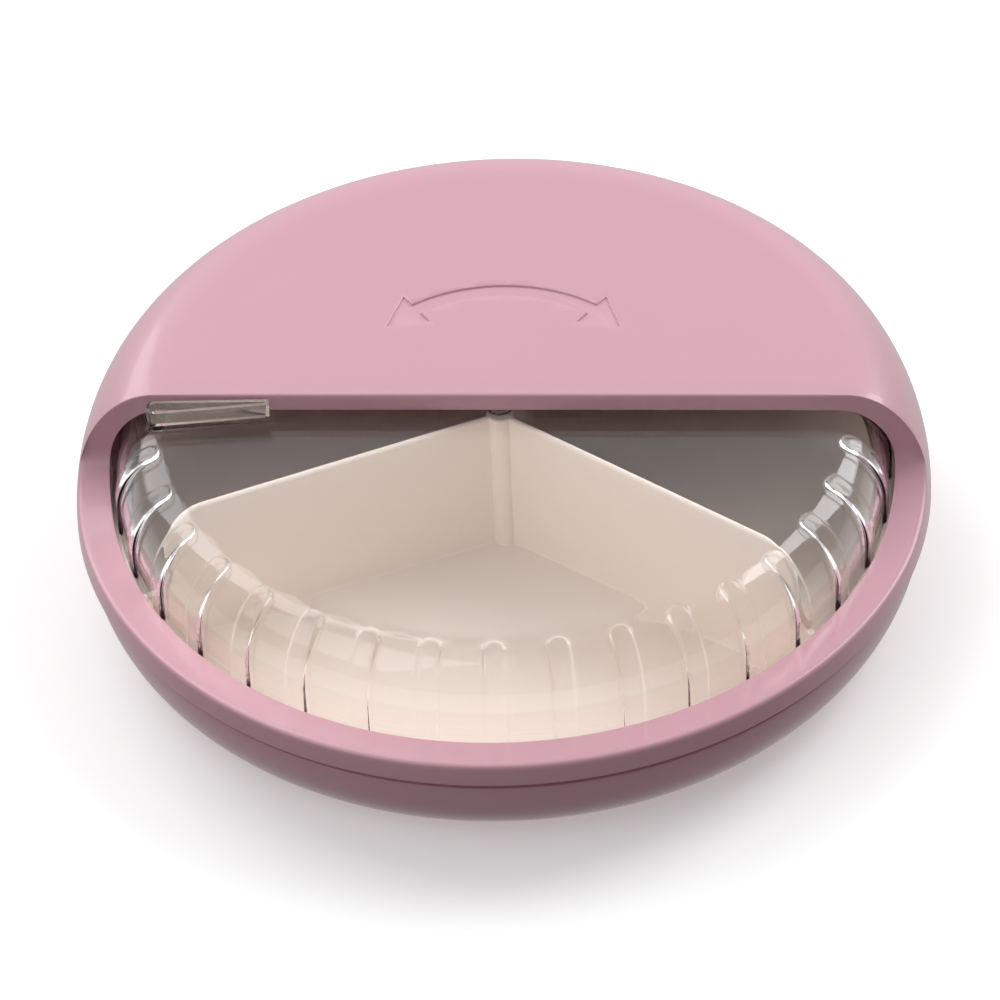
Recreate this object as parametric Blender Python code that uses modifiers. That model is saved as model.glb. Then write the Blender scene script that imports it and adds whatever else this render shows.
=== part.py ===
"""Round snack container: base bowl, three-way insert, clear spinning lid and hooded snap-on cover.

The origin is the middle of the base's resting face. +Z is up and the window in the cover faces -Y.
Lengths are metres and angles are degrees.
"""
import math

import bmesh
import bpy
from mathutils import Matrix

# Whole container
OUTER_RADIUS = 0.0825
TOTAL_HEIGHT = 0.0446
PART_LINE = 0.0187
SEAM_GAP = 0.0005
FIT_GAP = 0.0004
RUN_GAP = 0.0004
REST_GAP = 0.0003

# Base bowl
RING_OVERHANG = 0.0013
BASE_WALL = 0.0017
BASE_FLOOR = 0.0022
BASE_CURVE_WIDTH = 0.0136
RIM_BAND = 0.0015
RIM_RECESS = 0.0008
FOOT_WIDTH = 0.0060
FOOT_RECESS = 0.0008

# Insert
INSERT_WALL = 0.0016
INSERT_FLOOR = 0.0020
INSERT_CURVE_WIDTH = 0.0110
COMPARTMENTS = 3
DIVIDER_THICKNESS = 0.0014
DIVIDER_SETBACK = 0.0030
HUB_RADIUS = 0.0027
FIRST_DIVIDER_ANGLE = 205.2

# Clear lid
LID_WALL = 0.0016
LID_SHOULDER_WIDTH = 0.0100
LID_SHOULDER_HEIGHT = 0.0125
FLANGE_THICKNESS = 0.0013
FLANGE_WIDTH = 0.0030
FLANGE_LAP = 0.0010
DIVIDER_GAP = 0.0007
RIB_COUNT = 36
RIB_WIDTH = 0.0043
RIB_HEIGHT = 0.0005
RIB_INNER_REACH = 0.0088
FIRST_RIB_ANGLE = 191.4
TAB_GAP = 0.00035
TAB_SETBACK = 0.0069
TAB_LENGTH = 0.0235
TAB_HEIGHT = 0.0042
TAB_WIDTH = 0.0040
TAB_NECK = 0.0018
TAB_WALL = 0.0008
PIN_RADIUS = 0.0015
PIN_HEIGHT = 0.0024
PIN_SHOULDER_RADIUS = 0.0026
PIN_SHOULDER_HEIGHT = 0.0005
MOUTH_ANGLE = 104.0
MOUTH_INNER_RADIUS = 0.0110
MOUTH_MARGIN = 0.0044
MOUTH_CORNER = 0.0050
MOUTH_BEHIND_TAB = 8.0

# Hooded cover
HOOD_SHOULDER_WIDTH = 0.0165
HOOD_CROWN = 0.0039
RING_HEIGHT = 0.0046
RING_PLATE = 0.0020
WINDOW_GAP = 0.0012
HOOD_FACE_Y = -0.0022
HOOD_WALL = 0.0020
LIP_GAP = 0.0009
SWEEP_DEPTH = 0.0251
SWEEP_HEIGHT = 0.0075
SKIRT_DEPTH = 0.0035
SKIRT_WALL = 0.0013
BEAD_HEIGHT = 0.0012
ARROW_RADIUS = 0.0290
ARROW_WIDTH = 0.0030
ARROW_HALF_ANGLE = 36.0
ARROW_HEAD_WIDTH = 0.0090
ARROW_HEAD_ANGLE = 15.0
ARROW_DEPTH = 0.0004

# Facets
TURN_STEPS = 60
CURVE_STEPS = 6
MERGE_DISTANCE = 0.00001

# Places worked out from the sizes above
RING_BOTTOM = PART_LINE + SEAM_GAP
RING_TOP = RING_BOTTOM + RING_HEIGHT
BASE_RADIUS = OUTER_RADIUS - RING_OVERHANG
BASE_BORE = BASE_RADIUS - BASE_WALL
BASE_FLOOR_TOP = FOOT_RECESS + BASE_FLOOR
BASE_CURVE_TOP = PART_LINE - RIM_BAND
SKIRT_OUTER = BASE_BORE - FIT_GAP
SKIRT_INNER = SKIRT_OUTER - SKIRT_WALL
SKIRT_BOTTOM = RING_BOTTOM - SKIRT_DEPTH
PLATE_BOTTOM = RING_TOP - RING_PLATE
FLANGE_RADIUS = SKIRT_INNER - RUN_GAP
FLANGE_TOP = PLATE_BOTTOM - RUN_GAP
FLANGE_BOTTOM = FLANGE_TOP - FLANGE_THICKNESS
RIB_FOOT = FLANGE_TOP - FLANGE_THICKNESS / 2
BEAD_TOP = FLANGE_BOTTOM - RUN_GAP
BEAD_BOTTOM = BEAD_TOP - BEAD_HEIGHT
BEAD_RADIUS = FLANGE_RADIUS - FLANGE_LAP
LIP_EDGE = TOTAL_HEIGHT - HOOD_CROWN
LID_TOP = LIP_EDGE - LIP_GAP
LID_RADIUS = FLANGE_RADIUS - FLANGE_WIDTH
LID_FLAT_RADIUS = LID_RADIUS - LID_SHOULDER_WIDTH
LID_SHOULDER_Z = max(LID_TOP - LID_SHOULDER_HEIGHT, PLATE_BOTTOM + LID_WALL)
WINDOW_RADIUS = LID_RADIUS + WINDOW_GAP
MOUTH_OUTER_RADIUS = LID_RADIUS - MOUTH_MARGIN
TAB_OUTER_RADIUS = LID_RADIUS - TAB_SETBACK
TAB_INNER_RADIUS = TAB_OUTER_RADIUS - TAB_LENGTH
TAB_FORWARD = TAB_NECK / 2 + TAB_GAP - HOOD_FACE_Y
TAB_ANGLE = 180.0 + math.degrees(math.asin(TAB_FORWARD / TAB_INNER_RADIUS))
TAB_START = LID_TOP - LID_WALL / 2
INSERT_RADIUS = BEAD_RADIUS - FIT_GAP
INSERT_BOTTOM = BASE_FLOOR_TOP + REST_GAP
INSERT_FLOOR_TOP = INSERT_BOTTOM + INSERT_FLOOR
INSERT_RIM = FLANGE_BOTTOM - RUN_GAP
DIVIDER_TOP = LID_TOP - LID_WALL - DIVIDER_GAP
DIVIDER_FLAT_RADIUS = LID_FLAT_RADIUS - DIVIDER_SETBACK
DIVIDER_RADIUS = LID_RADIUS - LID_WALL - DIVIDER_GAP - DIVIDER_SETBACK

# Plastics
BASE_PINK = (0.56, 0.29, 0.35)
COVER_PINK = (0.64, 0.35, 0.42)
INSERT_CREAM = (0.80, 0.70, 0.59)
LID_CLEAR = (0.95, 0.95, 0.95)
SATIN = 0.33
MATT = 0.42
POLISHED = 0.06
CLEAR_ALPHA = 0.35
CLEAR_TRANSMISSION = 0.9

COLLECTION_NAME = "snack_spinner"
CUTTER_COLLECTION_NAME = "cutters"


def clear_scene():
    """Remove every object of the open scene."""
    for item in list(bpy.data.objects):
        bpy.data.objects.remove(item, do_unlink=True)


def new_collection(name):
    """Return a new collection linked to the scene."""
    collection = bpy.data.collections.new(name)
    bpy.context.scene.collection.children.link(collection)
    return collection


def plastic(name, colour, roughness, alpha=1.0, transmission=0.0):
    """Return a Principled material for moulded plastic."""
    material = bpy.data.materials.new(name)
    material.use_nodes = True
    shader = material.node_tree.nodes["Principled BSDF"]
    shader.inputs["Base Color"].default_value = (*colour, 1.0)
    shader.inputs["Roughness"].default_value = roughness
    shader.inputs["Metallic"].default_value = 0.0
    shader.inputs["Alpha"].default_value = alpha
    shader.inputs["Transmission Weight"].default_value = transmission
    return material


def polar(radius, degrees, z):
    """Return the point at a radius and an angle about the container's axis."""
    return (radius * math.cos(math.radians(degrees)), radius * math.sin(math.radians(degrees)), z)


def quarter(centre_r, centre_z, half_width, half_height, side=1):
    """Return a quarter ellipse from its top to its outer side, or to the bottom when side is -1."""
    points = []
    for step in range(CURVE_STEPS + 1):
        turn = math.pi / 2 * step / CURVE_STEPS
        if side > 0:
            points.append((centre_r + half_width * math.sin(turn), centre_z + half_height * math.cos(turn)))
        else:
            points.append((centre_r + half_width * math.cos(turn), centre_z - half_height * math.sin(turn)))
    return points


def add_object(name, mesh, collection):
    """Add an object that holds the mesh, with its origin on the container's axis."""
    item = bpy.data.objects.new(name, mesh)
    collection.objects.link(item)
    return item


def turned(name, profile, collection, closed=False):
    """Return a solid turned about +Z from a profile of (radius, z) points that runs down its outer side."""
    mesh = bpy.data.meshes.new(name)
    edges = [(i, i + 1) for i in range(len(profile) - 1)]
    if closed:
        edges.append((len(profile) - 1, 0))
    mesh.from_pydata([(r, 0.0, z) for r, z in profile], edges, [])
    item = add_object(name, mesh, collection)
    screw = item.modifiers.new("turn", "SCREW")
    screw.axis = "Z"
    screw.steps = TURN_STEPS
    screw.render_steps = TURN_STEPS
    screw.use_merge_vertices = True
    screw.merge_threshold = MERGE_DISTANCE
    screw.use_smooth_shade = True
    return item


def prism(name, outline, depth, collection):
    """Return a solid with a flat outline of (x, y) points, which rises by depth from z = 0."""
    shape = bmesh.new()
    corners = [shape.verts.new((x, y, 0.0)) for x, y in outline]
    face = shape.faces.new(corners)
    grown = bmesh.ops.extrude_face_region(shape, geom=[face])
    raised = [part for part in grown["geom"] if isinstance(part, bmesh.types.BMVert)]
    bmesh.ops.translate(shape, vec=(0.0, 0.0, depth), verts=raised)
    bmesh.ops.recalc_face_normals(shape, faces=shape.faces)
    mesh = bpy.data.meshes.new(name)
    shape.to_mesh(mesh)
    shape.free()
    return add_object(name, mesh, collection)


def cylinder(name, radius, bottom, top, collection):
    """Return an upright cylinder on the container's axis."""
    shape = bmesh.new()
    middle = Matrix.Translation((0.0, 0.0, (bottom + top) / 2))
    bmesh.ops.create_cone(shape, cap_ends=True, segments=TURN_STEPS // 3, radius1=radius, radius2=radius,
                          depth=top - bottom, matrix=middle)
    mesh = bpy.data.meshes.new(name)
    shape.to_mesh(mesh)
    shape.free()
    return add_object(name, mesh, collection)


def combine(item, tool, operation):
    """Join, cut or intersect an object with a tool, which stays out of the model."""
    boolean = item.modifiers.new(tool.name, "BOOLEAN")
    boolean.operation = operation
    boolean.solver = "EXACT"
    boolean.object = tool
    tool.hide_render = True
    tool.display_type = "WIRE"


def finish_piece(item, material):
    """Give a piece its material."""
    item.data.materials.append(material)
    return item


def build_base(parts):
    """Return the open bowl that carries everything."""
    centre_r = BASE_RADIUS - BASE_CURVE_WIDTH
    outer_curve = quarter(centre_r, BASE_CURVE_TOP, BASE_CURVE_WIDTH, BASE_CURVE_TOP, side=-1)
    inner_curve = quarter(centre_r, BASE_CURVE_TOP, BASE_CURVE_WIDTH - BASE_WALL,
                          BASE_CURVE_TOP - BASE_FLOOR_TOP, side=-1)
    foot_inner = centre_r - FOOT_WIDTH
    profile = [(0.0, BASE_FLOOR_TOP)]
    profile += reversed(inner_curve)
    profile += [(BASE_BORE, PART_LINE), (BASE_RADIUS - RIM_RECESS, PART_LINE),
                (BASE_RADIUS - RIM_RECESS, BASE_CURVE_TOP)]
    profile += outer_curve
    profile += [(foot_inner, 0.0), (foot_inner - FOOT_RECESS, FOOT_RECESS), (0.0, FOOT_RECESS)]
    base = turned("base_bowl", profile, parts)
    return finish_piece(base, plastic("pink_base", BASE_PINK, SATIN))


def divider_outline():
    """Return one divider's outline of (radius, z) points, rooted in the insert's shell."""
    root_z = INSERT_BOTTOM + INSERT_FLOOR / 2
    root_width = INSERT_CURVE_WIDTH - INSERT_WALL / 2
    centre_r = INSERT_RADIUS - INSERT_CURVE_WIDTH
    wall_curve = quarter(centre_r, BASE_CURVE_TOP, root_width, BASE_CURVE_TOP - root_z, side=-1)
    shoulder = quarter(DIVIDER_FLAT_RADIUS, LID_SHOULDER_Z, DIVIDER_RADIUS - DIVIDER_FLAT_RADIUS,
                       DIVIDER_TOP - LID_SHOULDER_Z)
    step_z = INSERT_RIM - INSERT_WALL / 2
    outline = [(0.0, DIVIDER_TOP)] + shoulder
    outline += [(DIVIDER_RADIUS, step_z), (centre_r + root_width, step_z)]
    outline += wall_curve
    outline += [(0.0, root_z)]
    return outline


def build_insert(parts, cutters):
    """Return the lift-out insert, whose dividers reach up inside the clear lid."""
    centre_r = INSERT_RADIUS - INSERT_CURVE_WIDTH
    outer_curve = quarter(centre_r, BASE_CURVE_TOP, INSERT_CURVE_WIDTH,
                          BASE_CURVE_TOP - INSERT_BOTTOM, side=-1)
    inner_curve = quarter(centre_r, BASE_CURVE_TOP, INSERT_CURVE_WIDTH - INSERT_WALL,
                          BASE_CURVE_TOP - INSERT_FLOOR_TOP, side=-1)
    profile = [(0.0, INSERT_FLOOR_TOP)]
    profile += reversed(inner_curve)
    profile += [(INSERT_RADIUS - INSERT_WALL, INSERT_RIM), (INSERT_RADIUS, INSERT_RIM)]
    profile += outer_curve
    profile += [(0.0, INSERT_BOTTOM)]
    insert = turned("compartment_insert", profile, parts)
    for number in range(COMPARTMENTS):
        angle = FIRST_DIVIDER_ANGLE + number * 360.0 / COMPARTMENTS
        divider = prism(f"divider_{number + 1}", divider_outline(), DIVIDER_THICKNESS, cutters)
        stand = Matrix.Rotation(math.radians(90.0), 4, "X")
        centring = Matrix.Translation((0.0, 0.0, -DIVIDER_THICKNESS / 2))
        divider.matrix_world = Matrix.Rotation(math.radians(angle), 4, "Z") @ stand @ centring
        combine(insert, divider, "UNION")
    hub = cylinder("divider_hub", HUB_RADIUS, INSERT_BOTTOM + INSERT_FLOOR / 2, DIVIDER_TOP, cutters)
    combine(insert, hub, "UNION")
    return finish_piece(insert, plastic("cream_insert", INSERT_CREAM, MATT))


def rib_slots(cutters):
    """Return the round-ended radial slots that the lid's ribs fill, down into the flange they stand on."""
    shape = bmesh.new()
    half = RIB_WIDTH / 2
    inner = LID_RADIUS - RIB_INNER_REACH + half
    outer = LID_RADIUS + WINDOW_GAP
    arc = [(inner - half * math.sin(math.pi * i / CURVE_STEPS), half * math.cos(math.pi * i / CURVE_STEPS))
           for i in range(CURVE_STEPS + 1)]
    outline = [(outer, half)] + arc + [(outer, -half)]
    for number in range(RIB_COUNT):
        angle = FIRST_RIB_ANGLE + number * 360.0 / RIB_COUNT
        from_tab = abs((angle - TAB_ANGLE + 180.0) % 360.0 - 180.0)
        if from_tab < 180.0 / RIB_COUNT:
            continue
        corners = [shape.verts.new((x, y, RIB_FOOT)) for x, y in outline]
        face = shape.faces.new(corners)
        grown = bmesh.ops.extrude_face_region(shape, geom=[face])
        raised = [part for part in grown["geom"] if isinstance(part, bmesh.types.BMVert)]
        bmesh.ops.translate(shape, vec=(0.0, 0.0, TOTAL_HEIGHT - RIB_FOOT), verts=raised)
        bmesh.ops.rotate(shape, cent=(0.0, 0.0, 0.0), verts=corners + raised,
                         matrix=Matrix.Rotation(math.radians(angle), 3, "Z"))
    bmesh.ops.recalc_face_normals(shape, faces=shape.faces)
    mesh = bpy.data.meshes.new("rib_slots")
    shape.to_mesh(mesh)
    shape.free()
    return add_object("rib_slots", mesh, cutters)


def build_ribs(cutters):
    """Return the ribs that stand proud of the lid's shoulder."""
    rooted = LID_WALL / 2
    rise = LID_TOP - LID_SHOULDER_Z
    top = quarter(LID_FLAT_RADIUS, LID_SHOULDER_Z, LID_SHOULDER_WIDTH + RIB_HEIGHT, rise + RIB_HEIGHT)
    under = quarter(LID_FLAT_RADIUS, LID_SHOULDER_Z, LID_SHOULDER_WIDTH - rooted, rise - rooted)
    inner = LID_FLAT_RADIUS - RIB_WIDTH
    profile = [(inner, LID_TOP + RIB_HEIGHT)] + top + [(LID_RADIUS + RIB_HEIGHT, FLANGE_BOTTOM)]
    profile += [(LID_RADIUS - rooted, FLANGE_BOTTOM)] + list(reversed(under)) + [(inner, LID_TOP - rooted)]
    ribs = turned("lid_ribs", profile, cutters, closed=True)
    combine(ribs, rib_slots(cutters), "INTERSECT")
    return ribs


def teardrop(inset):
    """Return the tab's plan outline, a round outer end that narrows to the neck."""
    big = TAB_WIDTH / 2 - inset
    small = TAB_NECK / 2 - inset
    centre = TAB_OUTER_RADIUS - TAB_WIDTH / 2
    neck = TAB_INNER_RADIUS + inset
    arc = [(centre + big * math.sin(math.pi * i / CURVE_STEPS), -big * math.cos(math.pi * i / CURVE_STEPS))
           for i in range(CURVE_STEPS + 1)]
    return [(neck, -small)] + arc + [(neck, small)]


def build_tab(cutters):
    """Return the hollow finger tab, open at its top."""
    turn = Matrix.Rotation(math.radians(TAB_ANGLE), 4, "Z")
    rise = LID_TOP + TAB_HEIGHT - TAB_START
    tab = prism("finger_tab", teardrop(0.0), rise, cutters)
    tab.matrix_world = turn @ Matrix.Translation((0.0, 0.0, TAB_START))
    hollow = prism("finger_tab_hollow", teardrop(TAB_WALL), rise, cutters)
    hollow.matrix_world = turn @ Matrix.Translation((0.0, 0.0, LID_TOP + RIB_HEIGHT))
    combine(tab, hollow, "DIFFERENCE")
    return tab


def arc(radius, start, sweep, centre=(0.0, 0.0)):
    """Return the (x, y) points of an arc, ends included, no coarser than the turned shapes."""
    count = max(CURVE_STEPS, round(abs(sweep) * TURN_STEPS / 360.0))
    points = [polar(radius, start + sweep * step / count, 0.0) for step in range(count + 1)]
    return [(centre[0] + x, centre[1] + y) for x, y, _ in points]


def mouth_outline():
    """Return the dispensing mouth's plan outline, a ring sector with rounded corners."""
    last = TAB_ANGLE - MOUTH_BEHIND_TAB
    first = last - MOUTH_ANGLE
    corner = min(MOUTH_CORNER, (MOUTH_OUTER_RADIUS - MOUTH_INNER_RADIUS) / 4)
    outer_r = MOUTH_OUTER_RADIUS - corner
    inner_r = MOUTH_INNER_RADIUS + corner
    outer_turn = math.degrees(math.asin(corner / outer_r))
    inner_turn = math.degrees(math.asin(corner / inner_r))
    outer_span = MOUTH_ANGLE - 2 * outer_turn
    inner_span = MOUTH_ANGLE - 2 * inner_turn
    outline = arc(corner, first - 90.0, 90.0 + outer_turn, polar(outer_r, first + outer_turn, 0.0))
    outline += arc(MOUTH_OUTER_RADIUS, first + outer_turn, outer_span)[1:-1]
    outline += arc(corner, last - outer_turn, 90.0 + outer_turn, polar(outer_r, last - outer_turn, 0.0))
    outline += arc(corner, last + 90.0, 90.0 - inner_turn, polar(inner_r, last - inner_turn, 0.0))
    outline += arc(MOUTH_INNER_RADIUS, last - inner_turn, -inner_span)[1:-1]
    outline += arc(corner, first + 180.0 + inner_turn, 90.0 - inner_turn,
                   polar(inner_r, first + inner_turn, 0.0))
    return outline


def build_lid(parts, cutters):
    """Return the clear lid that turns inside the cover."""
    inner_width = LID_SHOULDER_WIDTH - LID_WALL
    rise = LID_TOP - LID_SHOULDER_Z
    outer = quarter(LID_FLAT_RADIUS, LID_SHOULDER_Z, LID_SHOULDER_WIDTH, rise)
    inner = quarter(LID_FLAT_RADIUS, LID_SHOULDER_Z, inner_width, rise - LID_WALL)
    profile = [(0.0, LID_TOP)] + outer
    profile += [(LID_RADIUS, FLANGE_TOP), (FLANGE_RADIUS, FLANGE_TOP), (FLANGE_RADIUS, FLANGE_BOTTOM),
                (LID_RADIUS - LID_WALL, FLANGE_BOTTOM)]
    profile += list(reversed(inner)) + [(0.0, LID_TOP - LID_WALL)]
    lid = turned("spin_lid", profile, parts)
    combine(lid, build_ribs(cutters), "UNION")
    combine(lid, build_tab(cutters), "UNION")
    shoulder = cylinder("pin_shoulder", PIN_SHOULDER_RADIUS, TAB_START, LID_TOP + PIN_SHOULDER_HEIGHT, cutters)
    combine(lid, shoulder, "UNION")
    combine(lid, cylinder("centre_pin", PIN_RADIUS, TAB_START, LID_TOP + PIN_HEIGHT, cutters), "UNION")
    mouth = prism("lid_mouth", mouth_outline(), TOTAL_HEIGHT - PART_LINE, cutters)
    mouth.location = (0.0, 0.0, LID_SHOULDER_Z)
    combine(lid, mouth, "DIFFERENCE")
    return finish_piece(lid, plastic("clear_lid", LID_CLEAR, POLISHED, CLEAR_ALPHA, CLEAR_TRANSMISSION))


def front_cut(cutters):
    """Return the block that clears the front of the cover down to its ring, swept up to the hood's face."""
    start = HOOD_FACE_Y - SWEEP_DEPTH
    reach = OUTER_RADIUS + SWEEP_DEPTH
    outline = [(-reach, TOTAL_HEIGHT + SWEEP_HEIGHT), (-reach, RING_TOP)]
    for step in range(CURVE_STEPS * 2 + 1):
        turn = math.pi / 2 * step / (CURVE_STEPS * 2)
        outline.append((start + SWEEP_DEPTH * math.sin(turn),
                        RING_TOP + SWEEP_HEIGHT * (1.0 - math.cos(turn))))
    outline.append((HOOD_FACE_Y, TOTAL_HEIGHT + SWEEP_HEIGHT))
    block = prism("front_cut", outline, 2 * reach, cutters)
    block.matrix_world = Matrix(((0, 0, 1, -reach), (1, 0, 0, 0), (0, 1, 0, 0), (0, 0, 0, 1)))
    return block


def hood_pocket(cutters):
    """Return the hollow behind the hood's lip, which leaves the hood an even wall."""
    flat = OUTER_RADIUS - HOOD_SHOULDER_WIDTH
    inner_width = HOOD_SHOULDER_WIDTH - HOOD_WALL
    roof = quarter(flat, RING_BOTTOM, inner_width, TOTAL_HEIGHT - HOOD_WALL - RING_BOTTOM)
    floor_z = RING_TOP
    kept = [point for point in roof if point[1] > floor_z]
    profile = [(0.0, TOTAL_HEIGHT - HOOD_WALL)] + kept + [(kept[-1][0], floor_z), (0.0, floor_z)]
    pocket = turned("hood_pocket", profile, cutters)
    reach = OUTER_RADIUS + SWEEP_DEPTH
    front = HOOD_FACE_Y + HOOD_WALL
    keep = prism("pocket_limit", [(-reach, front), (reach, front), (reach, reach), (-reach, reach)],
                 TOTAL_HEIGHT, cutters)
    combine(pocket, keep, "INTERSECT")
    return pocket


def arrow_outline():
    """Return a two-headed arc arrow's plan outline, centred on the turning axis."""
    half = ARROW_WIDTH / 2
    head = ARROW_HEAD_WIDTH / 2
    low = 90.0 - ARROW_HALF_ANGLE
    high = 90.0 + ARROW_HALF_ANGLE
    count = CURVE_STEPS * 2
    sweep = [low + (high - low) * i / count for i in range(count + 1)]
    outline = [polar(ARROW_RADIUS + half, angle, 0.0) for angle in sweep]
    outline += [polar(ARROW_RADIUS + head, high, 0.0), polar(ARROW_RADIUS, high + ARROW_HEAD_ANGLE, 0.0),
                polar(ARROW_RADIUS - head, high, 0.0)]
    outline += [polar(ARROW_RADIUS - half, angle, 0.0) for angle in reversed(sweep)]
    outline += [polar(ARROW_RADIUS - head, low, 0.0), polar(ARROW_RADIUS, low - ARROW_HEAD_ANGLE, 0.0),
                polar(ARROW_RADIUS + head, low, 0.0)]
    return [(x, y) for x, y, _ in outline]


def build_cover(parts, cutters):
    """Return the cover: a ring that snaps on the base, and a hood over the rear half of the lid."""
    outer = quarter(OUTER_RADIUS - HOOD_SHOULDER_WIDTH, RING_BOTTOM, HOOD_SHOULDER_WIDTH,
                    TOTAL_HEIGHT - RING_BOTTOM)
    inner = quarter(LID_FLAT_RADIUS, LID_SHOULDER_Z, WINDOW_RADIUS - LID_FLAT_RADIUS,
                    LIP_EDGE - LID_SHOULDER_Z)
    profile = [(0.0, TOTAL_HEIGHT)] + outer
    profile += [(SKIRT_OUTER, RING_BOTTOM), (SKIRT_OUTER, SKIRT_BOTTOM), (SKIRT_INNER, SKIRT_BOTTOM),
                (SKIRT_INNER, BEAD_BOTTOM - BEAD_HEIGHT), (BEAD_RADIUS, BEAD_BOTTOM), (BEAD_RADIUS, BEAD_TOP),
                (SKIRT_INNER, BEAD_TOP), (SKIRT_INNER, PLATE_BOTTOM), (WINDOW_RADIUS, PLATE_BOTTOM)]
    profile += list(reversed(inner)) + [(0.0, LIP_EDGE)]
    cover = turned("hooded_cover", profile, parts)
    combine(cover, hood_pocket(cutters), "DIFFERENCE")
    collar_radius = PIN_RADIUS + RUN_GAP + HOOD_WALL
    collar = cylinder("pin_collar", collar_radius, LIP_EDGE, TOTAL_HEIGHT - HOOD_WALL / 2, cutters)
    combine(cover, collar, "UNION")
    combine(cover, front_cut(cutters), "DIFFERENCE")
    bore_top = LID_TOP + PIN_HEIGHT + RUN_GAP
    bore = cylinder("pin_bore", PIN_RADIUS + RUN_GAP, LID_TOP, bore_top, cutters)
    combine(cover, bore, "DIFFERENCE")
    arrow = prism("turn_arrow", arrow_outline(), ARROW_DEPTH * 2, cutters)
    arrow.location = (0.0, 0.0, TOTAL_HEIGHT - ARROW_DEPTH)
    combine(cover, arrow, "DIFFERENCE")
    return finish_piece(cover, plastic("pink_cover", COVER_PINK, SATIN))


def main():
    clear_scene()
    parts = new_collection(COLLECTION_NAME)
    cutters = new_collection(CUTTER_COLLECTION_NAME)
    build_base(parts)
    build_insert(parts, cutters)
    build_lid(parts, cutters)
    build_cover(parts, cutters)


main()
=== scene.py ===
"""Looks of the round snack container: four moulded pieces, with a camera, lights and a floor.

Lengths are metres and angles are degrees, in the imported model's frame: +Z is up and the window faces -Y.
"""

import math

import bmesh
import bpy
import numpy as np
from mathutils import Matrix, Vector


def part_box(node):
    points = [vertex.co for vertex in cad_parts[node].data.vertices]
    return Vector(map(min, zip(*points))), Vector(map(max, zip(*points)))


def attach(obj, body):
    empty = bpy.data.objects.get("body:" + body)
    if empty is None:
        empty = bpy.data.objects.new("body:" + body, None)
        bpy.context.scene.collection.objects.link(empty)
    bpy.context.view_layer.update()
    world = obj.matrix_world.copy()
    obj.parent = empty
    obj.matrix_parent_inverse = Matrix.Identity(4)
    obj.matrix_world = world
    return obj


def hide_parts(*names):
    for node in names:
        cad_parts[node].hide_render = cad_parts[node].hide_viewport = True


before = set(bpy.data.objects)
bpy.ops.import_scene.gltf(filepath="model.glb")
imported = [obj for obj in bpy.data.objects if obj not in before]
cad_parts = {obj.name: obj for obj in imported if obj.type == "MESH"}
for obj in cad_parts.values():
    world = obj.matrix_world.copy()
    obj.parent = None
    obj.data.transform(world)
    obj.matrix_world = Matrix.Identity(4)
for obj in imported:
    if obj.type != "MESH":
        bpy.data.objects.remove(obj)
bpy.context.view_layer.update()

MM = 0.001

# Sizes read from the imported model
COVER_LOW, COVER_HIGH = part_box("hooded_cover")
BASE_LOW, BASE_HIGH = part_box("base_bowl")
INSERT_LOW, INSERT_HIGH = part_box("compartment_insert")
LID_LOW, LID_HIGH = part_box("spin_lid")

# Base bowl
BASE_WALL = 1.7 * MM
BASE_FLOOR = 2.2 * MM
BASE_CURVE_WIDTH = 13.6 * MM
RIM_BAND = 1.5 * MM
RIM_RECESS = 0.8 * MM
FOOT_WIDTH = 6.0 * MM
FOOT_RECESS = 0.8 * MM
SEAM_GAP = 0.5 * MM
BASE_RIM_ROUND = 0.2 * MM
BAND_TOP_ROUND = 0.15 * MM
BAND_FOOT_ROUND = 0.3 * MM
FOOT_RING_ROUND = 0.3 * MM

# Insert
INSERT_WALL = 1.6 * MM
INSERT_FLOOR = 2.0 * MM
INSERT_CURVE_WIDTH = 11.0 * MM
INSERT_RIM = 19.7 * MM
INSERT_RIM_INNER_ROUND = 0.5 * MM
INSERT_RIM_OUTER_ROUND = 0.6 * MM
COMPARTMENTS = 3
DIVIDER_THICKNESS = 1.4 * MM
DIVIDER_RADIUS = 69.1 * MM
DIVIDER_FLAT_RADIUS = 61.4 * MM
DIVIDER_FILLET = 0.35 * MM
DIVIDER_ROOT = 0.8 * MM
DIVIDER_END_STEP = 1.0 * MM
DIVIDER_HEEL = 2.0 * MM
HUB_RADIUS = 2.7 * MM
HUB_FILLET = 0.08 * MM
HUB_TOP_ROUND = 0.5 * MM
FIRST_DIVIDER_ANGLE = 205.2

# Clear lid
LID_TOP = 39.8 * MM
LID_WALL = 1.6 * MM
LID_RADIUS = 74.4 * MM
LID_SHOULDER_WIDTH = 10.0 * MM
LID_SHOULDER_HEIGHT = 12.5 * MM
FLANGE_THICKNESS = 1.3 * MM
FLANGE_ROUND = 0.3 * MM
RIB_COUNT = 36
RIB_WIDTH = 4.3 * MM
RIB_HEIGHT = 0.5 * MM
RIB_ROUND = 0.75 * MM
RIB_FOOT_ROUND = 0.22 * MM
RIB_TIP_RADIUS = 65.6 * MM
FIRST_RIB_ANGLE = 191.4
CELL_START = 60.0 * MM
CELL_FOOT_STEP = 0.4 * MM
TAB_ANGLE = 184.497
TAB_INNER_RADIUS = 44.0 * MM
TAB_OUTER_RADIUS = 67.5 * MM
TAB_WIDTH = 4.0 * MM
TAB_NECK = 1.8 * MM
TAB_WALL = 0.8 * MM
TAB_ROUND = 0.22 * MM
TAB_LEAST_NECK = 0.05 * MM
PIN_RADIUS = 1.5 * MM
PIN_HEIGHT = 2.4 * MM
PIN_SHOULDER_RADIUS = 2.6 * MM
PIN_SHOULDER_HEIGHT = 0.5 * MM
PIN_TIP_ROUND = 0.4 * MM
PIN_FOOT_ROUND = 0.2 * MM
PIN_SHOULDER_ROUND = 0.25 * MM
MOUTH_ANGLE = 104.0
MOUTH_INNER_RADIUS = 11.0 * MM
MOUTH_OUTER_RADIUS = 70.0 * MM
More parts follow.
